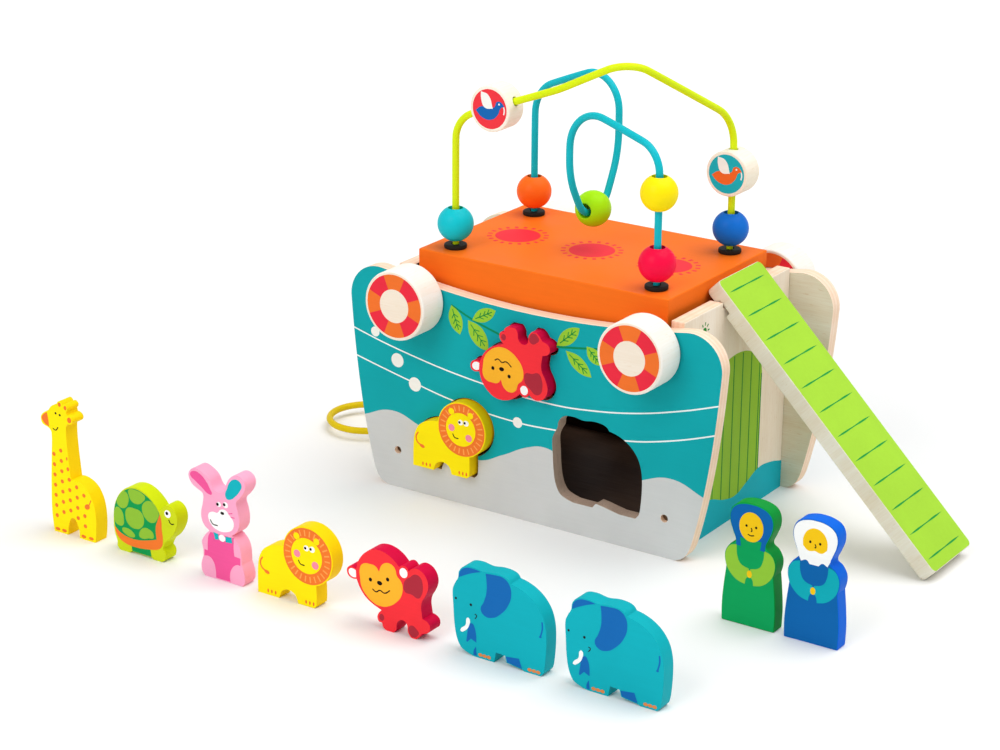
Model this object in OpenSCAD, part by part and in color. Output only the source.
/* [Hull] */
// Length of the hull over the end walls' outer faces
hull_l = 222; // [216:1:228]
// Depth of the hull over the two side panels
hull_d = 162; // [156:2:168]
// Thickness of the panels and the end walls
ply = 10; // [9:0.5:11]
// Half width of the side panels at their widest
panel_w = 144.5; // [142:0.5:147]
// Height of the rounded panel corners
panel_h = 157; // [155:1:159]
// How far the panels' top edge sags in the middle
panel_sag = 10; // [8:0.5:12]
// Height of the end walls
wall_h = 159; // [157:1:160]

/* [Life rings] */
// Diameter of the life rings
ring_d = 48; // [44:1:49]
// Thickness of the life rings
ring_t = 24; // [18:1:25]
// Distance of the life rings from the middle
ring_x = 91; // [88:1:93]
// Height of the life rings' centres
ring_z = 141; // [138:1:142]

/* [Lid and bead maze] */
// Length of the lid block
lid_l = 194; // [190:1:194]
// Depth of the lid block
lid_w = 132; // [130:1:136]
// Height of the lid's top face
lid_z = 171; // [168:1:174]
// Thickness of the lid block
lid_t = 25.7; // [24:0.1:28]
// Diameter of the coated wires
wire_d = 5; // [4.6:0.1:5]
// Diameter of the beads
bead_d = 24.5; // [23:0.5:25]
// Diameter of the bird discs
disc_d = 31; // [29:0.5:31.5]
// Thickness of the bird discs
disc_t = 18; // [16:0.5:20]

/* [Ramp] */
// Length of the ramp board
ramp_l = 232; // [231:0.5:233]
// Width of the ramp board
ramp_w = 57; // [50:1:64]

/* [Figures] */
// Thickness of the animals and people
fig_t = 11.5; // [10:0.5:13]
// Room around an animal in its hole
fig_gap = 1.3; // [1:0.1:1.5]

/* [Hidden] */
$fn = 48;

face_y = hull_d / 2;
in_y = face_y - ply;
in_x = hull_l / 2 - ply;

// Side panel: corner radius, screw place, and where its sag meets the corner arcs
corner_r = 23;
screw_x = hull_l / 2 - ply / 2;
screw_z = 27.5;
screw_hole_d = 5.4;
sag_a = 9.3;
pin_d = 8;
run = 0.05;

// Lid and maze: middle of the lid, feet of the wires, grommets and the bores of the beads
lid_y = -2.5;
lid_corner = 1;
maze_x = 0.7;
foot_x = 78.3;
foot_front = -52.8;
foot_back = 43.8;
foot_in = 18;
foot_left = maze_x - foot_x;
foot_right = maze_x + foot_x;
feet = [for (x = [foot_left, foot_right], y = [foot_front, foot_back]) [x, y]];
grommet_d = 15.6;
grommet_t = 3.1;
bead_bore = 10;
disc_bore = 6.6;

// First wire: along the front, up to a peak, then back to the far corner
arch_1 = [foot_left, foot_front, lid_z + 89.6];
arch_2 = [maze_x + 2, foot_front, lid_z + 120];
arch_3 = [maze_x + 54.3, foot_front, lid_z + 146];
arch_4 = [foot_right, foot_back, lid_z + 92.3];
arch_path = [
    [foot_left, foot_front, lid_z - foot_in], arch_1, arch_2, arch_3, arch_4,
    [foot_right, foot_back, lid_z - foot_in]
];
arch_bends = [0, 21, 150, 19, 32, 0];

// Second wire: along the back, down and up again in a loop across the lid, then to the front
loop_back = 26.3;
loop_front = -35.3;
loop_z = lid_z + 27;
loop_path = [
    [foot_left, foot_back, lid_z - foot_in], [foot_left, foot_back, lid_z + 90.5],
    [maze_x, loop_back, lid_z + 122.6], [maze_x, loop_back, lid_z + 61], [maze_x, 9, loop_z],
    [maze_x, -17.5, loop_z], [maze_x, loop_front, lid_z + 57],
    [maze_x, loop_front, lid_z + 109.8], [foot_right, foot_front, lid_z + 91],
    [foot_right, foot_front, lid_z - foot_in]
];
loop_bends = [0, 27, 22.5, 60, 20, 20, 50, 25, 20, 0];

// Places of the pieces on the wires
bead_z = lid_z + 17;
disc_red_at = arch_1 + 35 * unit(arch_2 - arch_1);
green_at = [maze_x, -4.6, loop_z + 2];
green_tilt = 4;
yellow_z = lid_z + 63.8;
disc_teal_z = lid_z + 56.2;

// Ramp: its top end, its slope, and the notch that drops over the wall
ramp_t = 11.5;
ramp_y = -20;
ramp_a = 45;
ramp_top = [105.5, 0, (ramp_l + ramp_t) * sin(ramp_a)];
notch = [11, 21];
notch_h = 3.7;

// Seat for the ramp in the top of the right wall: depth, and room beside the ramp
seat_h = 4;
seat_room = 1;

// Loop at the bow: height, half distance of its ends, middle and radius of its round eye,
// lean of the two sides between them, and bend where they leave the wall's direction
bow_z = 7.3;
bow_gap = 4.5;
bow_in = 7;
bow_x = -192.3;
bow_r = 27.5;
bow_lean = 30;
bow_turn = (180 + 2 * bow_lean) / 3;
bow_neck = bow_x + (bow_r / cos(bow_lean) - bow_gap) / tan(bow_lean);
bow_bend = 40;
bow_path = concat(
    [[-hull_l / 2 + bow_in, -bow_gap, bow_z], [bow_neck, -bow_gap, bow_z]],
    [
        for (k = [1 : -1 : -1])
            let (a = 180 + k * bow_turn, r = bow_r / cos(bow_turn / 2))
                [bow_x + r * cos(a), r * sin(a), bow_z]
    ],
    [[bow_neck, bow_gap, bow_z], [-hull_l / 2 + bow_in, bow_gap, bow_z]]
);
bow_eye_bend = 0.98 * bow_r;
bow_bends = [0, bow_bend, bow_eye_bend, bow_eye_bend, bow_eye_bend, bow_bend, 0];

// Where the loose pieces stand: [x, y of the front face]
row_y = -272;
giraffe_at = [-232, row_y - 1];
turtle_at = [-170, row_y];
rabbit_at = [-106, row_y];
lion_at = [-47, row_y];
monkey_at = [25.4, row_y];
elephant_left_at = [104.3, row_y + 0.7];
elephant_right_at = [183.3, row_y + 1.2];
woman_at = [201, -141.5];
man_at = [244.2, -141.5];

// Holes in the panels: place of the outline's foot, how far the two animals in the front
// stand proud, and how their holes sit off their middle
lion_hole_at = [-57.7, 23.2];
monkey_hole_at = [-8.5, 137.7];
elephant_hole_at = [53.9, 23.4];
giraffe_hole_at = [-71, 20];
turtle_hole_at = [-12, 24];
rabbit_hole_at = [43, 20];
proud = 8;
hole_shift = [0.5, -0.3];

// Outlines seen from the front, [x, z]; a third value of 0 makes a sharp corner
giraffe_pts = [
    [-23.2, 79.2], [-21.6, 82], [-18.8, 84], [-16, 85.8], [-14, 88.4], [-10.8, 90.4],
    [-8.2, 91, 0], [-7.9, 92.7], [-6.2, 93.6], [-4.5, 92.8], [-3.6, 91.5, 0], [-2.4, 92.2],
    [-0.7, 92], [0.6, 90.6], [0.5, 88.8], [-0.6, 87.5, 0], [-0.2, 85.2, 0], [1.8, 85],
    [4, 83.6], [4.5, 81.5], [3.2, 79.6], [0.4, 79.2, 0], [-1.3, 76.5], [-1.2, 62],
    [0.8, 40.1, 0], [4.6, 40.4], [9.4, 39.2], [13.4, 37], [16.4, 34], [19.8, 27],
    [21.2, 16.8], [20.7, 6], [19.7, 0, 0], [6, 0, 0], [5.4, 7.4], [1, 13.2], [-3.2, 7],
    [-4, 0, 0], [-16.3, 0, 0], [-17.6, 14], [-16.9, 34], [-15.4, 54], [-14.4, 70],
    [-16.5, 73], [-22, 75]
];
turtle_pts = [
    [-26.3, 16], [-26, 25], [-24.4, 32.4], [-20.8, 39.2], [-15.4, 44.5], [-8.8, 47],
    [-2, 46.8], [4.4, 44], [9.8, 39.6], [13.6, 35, 0], [16.2, 38.8], [19.8, 41],
    [24, 40.2], [27.2, 36.6], [28, 31], [26, 24.8], [22, 18.8], [17.2, 14.4],
    [14.9, 9.8, 0], [16.8, 7.8], [17.2, 4.8], [16, 1.6], [13.4, 0, 0], [6.6, 0, 0],
    [5.4, 1.4, 0], [-11.6, 1.4, 0], [-13.4, 0, 0], [-21.4, 0, 0], [-23.8, 2.2], [-23.9, 6],
    [-25.4, 10.5]
];
rabbit_pts = [
    [-25.2, 66.4], [-23.6, 70.4], [-19.5, 72.6], [-14.2, 71.2], [-9, 67.8], [-5.4, 61.8],
    [-1, 60.2], [3.4, 61.6], [5.6, 67.4], [8.8, 72.4], [13.2, 75], [17.6, 74.4],
    [20.6, 71], [20.2, 66.2], [16.8, 61], [13, 56.4], [14.4, 50.5], [15.3, 45],
    [14.7, 39.8], [12, 35.5], [8.6, 33, 0], [13, 29.5], [15.6, 24.5], [16.2, 18],
    [16.2, 14.6, 0], [18.2, 9], [18.4, 3.5], [16.5, 0, 0], [-14, 0, 0], [-16.4, 3],
    [-16.8, 8], [-15, 13.6, 0], [-15, 18], [-15.8, 23.5], [-13.5, 28], [-9.4, 32.3, 0],
    [-13.4, 35], [-15.6, 39.5], [-15.6, 44.5], [-14.2, 50], [-13.8, 56.4], [-18, 58.8],
    [-22.6, 61.4]
];
lion_mane = [9.9, 34];
lion_mane_r = 19.5;
lion_arch = [-5.6, 0];
lion_arch_r = 7.4;
lion_pts = concat(
    [[-30, 0, 0], [-29.9, 12.5], [-28.8, 23], [-25, 30.4], [-18, 34.6], [-9.4, 36.4, 0]],
    arc(lion_mane, lion_mane_r, 165, -60, 10),
    [[16.3, 15.6, 0], [16.3, 2.2], [14.2, 0, 0], [1.8, 0, 0]],
    arc(lion_arch, lion_arch_r, 45, 135, 2),
    [[-13, 0, 0]]
);
monkey_pts = [
    [-32.2, 32.4], [-31.2, 35.2], [-28.4, 36.2], [-25, 35.4, 0], [-23.8, 40.2],
    [-21.4, 44.4], [-18, 48], [-13.5, 51], [-7.5, 52], [-1.5, 50.8], [3.6, 48],
    [7.2, 44.6, 0], [8.6, 45.8], [11, 46.4], [13.2, 45.4], [14.4, 43.6, 0], [16, 45.4],
    [19.8, 46.8], [24.8, 45.2], [28, 41], [28.6, 36], [26.6, 30.5], [24.2, 26.4],
    [23.4, 22], [23.9, 18], [24.4, 14.8, 0], [27.4, 14], [29.7, 11.8], [29.6, 8],
    [27.2, 5.8], [24, 4.8], [22.2, 2.2], [19.5, 0, 0], [16, 0, 0], [13.6, 3], [12.6, 8.5],
    [9, 10], [5.6, 7.5], [4.8, 2.5], [3, 0, 0], [-3, 0, 0], [-5.2, 1.8], [-6, 4.2],
    [-8.2, 4.6], [-9.4, 7.2], [-8.4, 10.2], [-6.2, 12.6, 0], [-13, 15.2], [-18.4, 18.6],
    [-22.4, 23.5], [-24.8, 28.6, 0], [-27.6, 28.2], [-30.8, 29.4]
];
// An elephant's legs, and the shallow step that its hole has in their place
elephant_legs = [
    [18.4, 0, 0], [16.8, 0.8, 0], [5.8, 2.2, 0], [4.6, 6.4, 0], [-1.8, 6.8, 0], [-3, 0, 0]
];
elephant_step = [[18.4, 0, 0], [5, 2.6, 0], [-0.6, 3.4, 0], [-3, 0, 0]];
function elephant_pts(legs) = [
    [-33, 40], [-31.2, 44.8], [-29.2, 48.4], [-28.4, 53], [-24.8, 56.8], [-18, 57.8],
    [-10.6, 56.8], [-3, 57.8], [3.4, 57.4], [6.8, 56], [8.4, 53.8, 0], [13.4, 52.8],
    [19.8, 50.2], [25.8, 45.8], [30.6, 39.2], [33, 31.2], [33.6, 22], [33, 10],
    [31.8, 2.5], [29.7, 0, 0], each legs, [-17, 0, 0], [-23, 1.6], [-27.2, 4],
    [-30.3, 10.4], [-31.8, 19], [-32.5, 29]
];
person_half = [
    [18.2, 0, 0], [18.5, 12], [17.7, 24], [16.3, 36.6, 0], [17.5, 41.5], [17.2, 46.6],
    [14.2, 51.6], [10.6, 54.6], [12.6, 60.5], [14.9, 67], [14.7, 73.5], [11.8, 78],
    [6, 80.4]
];
person_pts = concat(person_half, [[0, 81]], mirrored(person_half));

// The same half outline on the other side, in reverse order
function mirrored(P) = [
    for (i = [len(P) - 1 : -1 : 0])
        len(P[i]) > 2 ? [-P[i][0], P[i][1], P[i][2]] : [-P[i][0], P[i][1]]
];

function unit(v) = v / norm(v);

// Points on a circle arc
function arc(c, r, a0, a1, n) = [
    for (i = [0 : n]) let (a = a0 + (a1 - a0) * i / n) c + r * [cos(a), sin(a)]
];

// Points on a quadratic curve from a to c, drawn towards b
function bow(a, b, c, n) = [
    for (i = [0 : n - 1]) let (t = i / n)
        (1 - t) * (1 - t) * a + 2 * t * (1 - t) * b + t * t * c
];

// Smooth closed outline through hand-set points
function flat(p) = [p[0], p[1]];
function sharp(p) = len(p) > 2 && p[2] == 0;
function aim(P, i) = sharp(P[i]) ? [0, 0]
    : let (n = len(P)) unit(flat(P[(i + 1) % n]) - flat(P[(i + n - 1) % n]));
function between(a, b, u, v, t) =
    (2 * t * t * t - 3 * t * t + 1) * a + (t * t * t - 2 * t * t + t) * u
    + (3 * t * t - 2 * t * t * t) * b + (t * t * t - t * t) * v;
function outline(P, n = 5) = [
    for (i = [0 : len(P) - 1])
        let (j = (i + 1) % len(P), a = flat(P[i]), b = flat(P[j]), l = norm(b - a))
            for (s = [0 : (sharp(P[i]) && sharp(P[j]) ? 0 : n - 1)])
                between(a, b, l * aim(P, i), l * aim(P, j), s / n)
];

// The hand-set points moved outwards by d, for a hole with room around the piece
function area(P) = [
    for (i = [0 : len(P) - 1])
        let (a = P[i], b = P[(i + 1) % len(P)]) a[0] * b[1] - a[1] * b[0]
] * [for (p = P) 0.5];
function edge_out(a, b) = let (t = unit(flat(b) - flat(a))) [t[1], -t[0]];
function grown(P, d) = let (n = len(P), s = area(P) > 0 ? d : -d) [
    for (i = [0 : n - 1])
        let (
            e = edge_out(P[(i + n - 1) % n], P[i]),
            f = edge_out(P[i], P[(i + 1) % n]),
            q = flat(P[i]) + s * unit(e + f) / max(0.7, unit(e + f) * e)
        )
            sharp(P[i]) ? [q[0], q[1], 0] : q
];

// Shapes seen from the front
module shape(P, room = 0) {
    polygon(outline(room == 0 ? P : grown(P, room)));
}

// A flat shape stood upright, its front face at y
module upright(y, t) {
    translate([0, y + t, 0]) rotate([90, 0, 0]) linear_extrude(t) children();
}

module rod(a, b, d) {
    v = b - a;
    translate(a)
        rotate([0, acos(v[2] / norm(v)), atan2(v[1], v[0])])
            cylinder(h = norm(v), d = d);
}

// Centre line of a wire with a round bend of radius R[i] at each inner corner of P,
// as [point, direction] pairs
function wire_line(P, R, n = 10) = concat(
    [[P[0], unit(P[1] - P[0])]],
    [
        for (i = [1 : len(P) - 2])
            let (
                u = unit(P[i - 1] - P[i]),
                v = unit(P[i + 1] - P[i]),
                half = acos(u * v) / 2,
                c = P[i] + unit(u + v) * R[i] / sin(half),
                e = unit(P[i] + u * R[i] / tan(half) - c)
            )
                for (s = [0 : n])
                    let (a = (180 - 2 * half) * s / n)
                        [c + R[i] * (cos(a) * e - sin(a) * u), -cos(a) * u - sin(a) * e]
    ],
    [[P[len(P) - 1], unit(P[len(P) - 1] - P[len(P) - 2])]]
);

// Round tube along a centre line, without twist
module tube(line, d, sides = 16) {
    n = len(line);
    aside = [
        for (i = 0, a = [0.6, 0.8, 0]; i < n; i = i + 1, a = square_to(a, line[min(i, n - 1)][1]))
            a
    ];
    rings = [
        for (i = [0 : n - 1], k = [0 : sides - 1])
            let (t = 360 * k / sides, a = square_to(aside[i], line[i][1]))
                line[i][0] + d / 2 * (cos(t) * a + sin(t) * cross(line[i][1], a))
    ];
    walls = [
        for (i = [0 : n - 2], k = [0 : sides - 1])
            let (j = (k + 1) % sides, p = i * sides)
                [p + k, p + sides + k, p + sides + j, p + j]
    ];
    ends = [
        [for (k = [0 : sides - 1]) k],
        [for (k = [sides - 1 : -1 : 0]) (n - 1) * sides + k]
    ];
    polyhedron(rings, concat(walls, ends), convexity = 6);
}

// The part of a that is square to the direction t
function square_to(a, t) = unit(a - (a * t) * t);

module bent_wire(P, R, d) {
    tube(wire_line(P, R), d);
}

// Rectangle with round corners, from a corner at the origin
module round_rect(l, w, r) {
    translate([r, 0]) square([l - 2 * r, w]);
    translate([0, r]) square([l, w - 2 * r]);
    for (x = [r, l - r], y = [r, w - r]) translate([x, y]) circle(r = r);
}

// Outline of a side panel: flared sides, round corners, sagging top edge
function panel_side() = concat(
    bow([112, 0], [123, 0], [126.5, 14], 8),
    bow([126.5, 14], [panel_w - 5, 62], [panel_w, panel_h - corner_r], 14),
    arc([panel_w - corner_r, panel_h - corner_r], corner_r, 0, 90 + sag_a, 14)
);
function panel_top() = let (
    x = panel_w - corner_r - corner_r * sin(sag_a),
    z = panel_h - corner_r + corner_r * cos(sag_a)
) [for (i = [1 : 23]) let (k = 1 - i / 12) [x * k, z - panel_sag * (1 - k * k)]];

module panel_shape() {
    difference() {
        polygon(concat(panel_side(), panel_top(), mirrored(panel_side())));
        for (s = [-1, 1]) {
            translate([s * screw_x, screw_z]) circle(d = screw_hole_d);
            translate([s * ring_x, ring_z]) circle(d = pin_d);
        }
    }
}

// Hull
module front_panel() {
    color("#12a7a8") upright(-face_y, ply) difference() {
        panel_shape();
        translate(lion_hole_at + hole_shift) shape(lion_pts, fig_gap);
        translate(monkey_hole_at + hole_shift) mirror([0, 1]) shape(monkey_pts, fig_gap);
        translate(elephant_hole_at) shape(elephant_pts(elephant_step), fig_gap);
    }
}

module back_panel() {
    color("#12a7a8") upright(in_y, ply) mirror([1, 0]) difference() {
        panel_shape();
        translate(giraffe_hole_at) shape(giraffe_pts, fig_gap);
        translate(turtle_hole_at) shape(turtle_pts, fig_gap);
        translate(rabbit_hole_at) shape(rabbit_pts, fig_gap);
    }
}

module end_wall() {
    difference() {
        translate([in_x, -in_y, 0]) cube([ply, 2 * in_y, wall_h]);
        for (s = [-1, 1])
            translate([screw_x, s * in_y, screw_z])
                rotate([s * 90, 0, 0]) cylinder(h = 22, d = 3);
    }
}

module left_end_wall() {
    color("#f3ead8") difference() {
        mirror([1, 0, 0]) end_wall();
        for (s = [-1, 1])
            translate([-hull_l / 2 - 1, s * bow_gap, bow_z])
                rotate([0, 90, 0]) cylinder(h = bow_in + 1, d = wire_d);
    }
}

module right_end_wall() {
    color("#f3ead8") difference() {
        end_wall();
        translate([in_x - 1, ramp_y - seat_room, wall_h - seat_h])
            cube([ply + 2, ramp_w + 2 * seat_room, seat_h + 1]);
    }
}

module floor_board() {
    color("#e8d9bd") translate([-in_x, -in_y, 0]) cube([2 * in_x, 2 * in_y, 8]);
}

// Strips inside the end walls that carry the lid
module lid_rests() {
    color("#e8d9bd") for (s = [-1, 1])
        translate([s * (in_x - 5) - 5, -in_y, lid_z - lid_t - 0.3 - 12])
            cube([10, 2 * in_y, 12]);
}

module hull_screws() {
    color("#6b5a4a") for (sx = [-1, 1], sy = [-1, 1])
        translate([sx * screw_x, sy * (face_y - 3.5), screw_z]) rotate([sy * 90, 0, 0]) {
            cylinder(h = 3, d = screw_hole_d);
            cylinder(h = 28, d = 3);
        }
}

// Dowels that the life rings turn on
module ring_pins() {
    color("#d9bf94") for (sx = [-1, 1], sy = [-1, 1])
        translate([sx * ring_x, sy * in_y, ring_z])
            rotate([-sy * 90, 0, 0]) cylinder(h = ply + 16, d = pin_d);
}

module bow_loop() {
    color("#f4cf12") bent_wire(bow_path, bow_bends, wire_d);
}

// Thick disc with a blind bore in its inner face
module life_ring(sx, sy) {
    color("#ee3b3a") translate([sx * ring_x, sy * (face_y + 0.5), ring_z])
        rotate([-sy * 90, 0, 0]) difference() {
            cylinder(h = ring_t, d = ring_d);
            translate([0, 0, -1]) cylinder(h = 17.5, d = pin_d + 2 * run);
        }
}

module ring_front_left() { life_ring(-1, -1); }

module ring_front_right() { life_ring(1, -1); }

module ring_back_left() { life_ring(-1, 1); }

module ring_back_right() { life_ring(1, 1); }

// Lid and bead maze
module lid_board() {
    color("#f5701e") difference() {
        translate([-lid_l / 2, lid_y - lid_w / 2, lid_z - lid_t])
            linear_extrude(lid_t) round_rect(lid_l, lid_w, lid_corner);
        for (f = feet)
            translate([f[0], f[1], lid_z - foot_in]) cylinder(h = foot_in + 1, d = wire_d);
    }
}

module wire_arch() {
    color("#d9ec14") bent_wire(arch_path, arch_bends, wire_d);
}

module wire_loop() {
    color("#12b4c4") bent_wire(loop_path, loop_bends, wire_d);
}

module wire_grommets() {
    color("#222222") for (f = feet)
        translate([f[0], f[1], lid_z]) difference() {
            cylinder(h = grommet_t, d = grommet_d);
            translate([0, 0, -1]) cylinder(h = grommet_t + 2, d = wire_d);
        }
}

// Round bead threaded on the direction v
module bead(at, v = [0, 0, 1]) {
    translate(at) rotate([0, acos(v[2] / norm(v)), atan2(v[1], v[0])]) difference() {
        sphere(d = bead_d);
        cylinder(h = bead_d + 2, d = bead_bore, center = true);
    }
}

module bead_turquoise() {
    color("#17b5bd") bead([foot_left, foot_front, bead_z]);
}

module bead_orange() {
    color("#f7931d") bead([foot_left, foot_back, bead_z]);
}

module bead_green() {
    color("#7ec517") bead(green_at, [0, -cos(green_tilt), sin(green_tilt)]);
}

module bead_yellow() {
    color("#f7d512") bead([foot_right, foot_front, yellow_z]);
}

module bead_red() {
    color("#ef2149") bead([foot_right, foot_front, bead_z]);
}

module bead_blue() {
    color("#1563be") bead([foot_right, foot_back, bead_z]);
}

// Flat-faced disc that looks to the front, threaded across on the direction v
module bird_disc(at, v) {
    difference() {
        translate(at) rotate([90, 0, 0]) cylinder(h = disc_t, d = disc_d, center = true);
        rod(at - disc_d * unit(v), at + disc_d * unit(v), disc_bore);
    }
}

module bird_disc_red() {
    color("#f0413f") bird_disc(disc_red_at, arch_2 - arch_1);
}

module bird_disc_teal() {
    color("#1fb1be") bird_disc([foot_right, foot_back, disc_teal_z], [0, 0, 1]);
}

// Ramp board with round corners and a notch across its underside
module ramp() {
    color("#a6e53a") translate(ramp_top + [0, ramp_y, 0]) rotate([0, ramp_a, 0]) difference() {
        translate([0, 0, -ramp_t]) linear_extrude(ramp_t) round_rect(ramp_l, ramp_w, 4);
        translate([notch[0], -1, -ramp_t - 1])
            cube([notch[1] - notch[0], ramp_w + 2, notch_h + 1]);
    }
}

// Animals in the hull's holes
module lion_in_hull() {
    color("#fbdc12") translate([lion_hole_at[0], 0, lion_hole_at[1]])
        upright(-face_y - proud, fig_t) shape(lion_pts);
}

module monkey_in_hull() {
    color("#ee3145") translate([monkey_hole_at[0], 0, monkey_hole_at[1]])
        upright(-face_y - proud, fig_t) mirror([0, 1]) shape(monkey_pts);
}

// Loose figures
module standing(at) {
    translate([at[0], 0, 0]) upright(at[1], fig_t) children();
}

module giraffe() {
    color("#fbdc12") standing(giraffe_at) shape(giraffe_pts);
}

module turtle() {
    color("#c6d422") standing(turtle_at) shape(turtle_pts);
}

module rabbit() {
    color("#f8a2c4") standing(rabbit_at) shape(rabbit_pts);
}

module lion() {
    color("#fbdc12") standing(lion_at) shape(lion_pts);
}

module monkey() {
    color("#ee3145") standing(monkey_at) shape(monkey_pts);
}

module elephant_left() {
    color("#14b0bd") standing(elephant_left_at) shape(elephant_pts(elephant_legs));
}

module elephant_right() {
    color("#14b0bd") standing(elephant_right_at) shape(elephant_pts(elephant_legs));
}

module woman() {
    color("#11a55c") standing(woman_at) shape(person_pts);
}

module man() {
    color("#1264a8") standing(man_at) shape(person_pts);
}

front_panel();
back_panel();
left_end_wall();
right_end_wall();
floor_board();
lid_rests();
hull_screws();
ring_pins();
bow_loop();
ring_front_left();
ring_front_right();
ring_back_left();
ring_back_right();
lid_board();
wire_arch();
wire_loop();
wire_grommets();
bead_turquoise();
bead_orange();
bead_green();
bead_yellow();
bead_red();
bead_blue();
bird_disc_red();
bird_disc_teal();
ramp();
lion_in_hull();
monkey_in_hull();
giraffe();
turtle();
rabbit();
lion();
monkey();
elephant_left();
elephant_right();
woman();
man();
